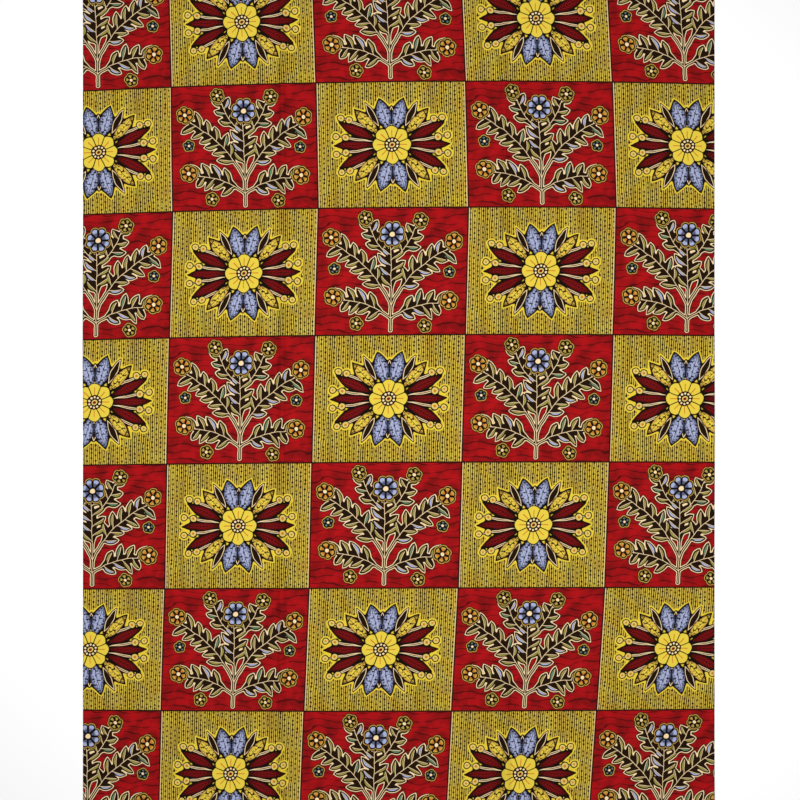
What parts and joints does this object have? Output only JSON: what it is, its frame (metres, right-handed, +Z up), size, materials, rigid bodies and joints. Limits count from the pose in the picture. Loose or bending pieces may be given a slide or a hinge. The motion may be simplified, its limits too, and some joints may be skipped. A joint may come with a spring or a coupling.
{
  "type": "wax print fabric",
  "caption": "A flat length of printed cotton cloth, woven edge to woven edge across and plainly cut at both ends, laid out face up.",
  "frame": {"origin": "middle of the cloth, on the surface that it lies on", "axes": "+X across the cloth from woven edge to woven edge, +Y along its length, +Z up from its printed face"},
  "size_m": [1.1684, 1.8288, 0.001],
  "materials": {
    "printed_cotton": "matt printed plain-weave cotton, chequered in red and olive gold"
  },
  "bodies": {
    "root": {"cloth": "printed_cotton"}
  },
  "joints": []
}
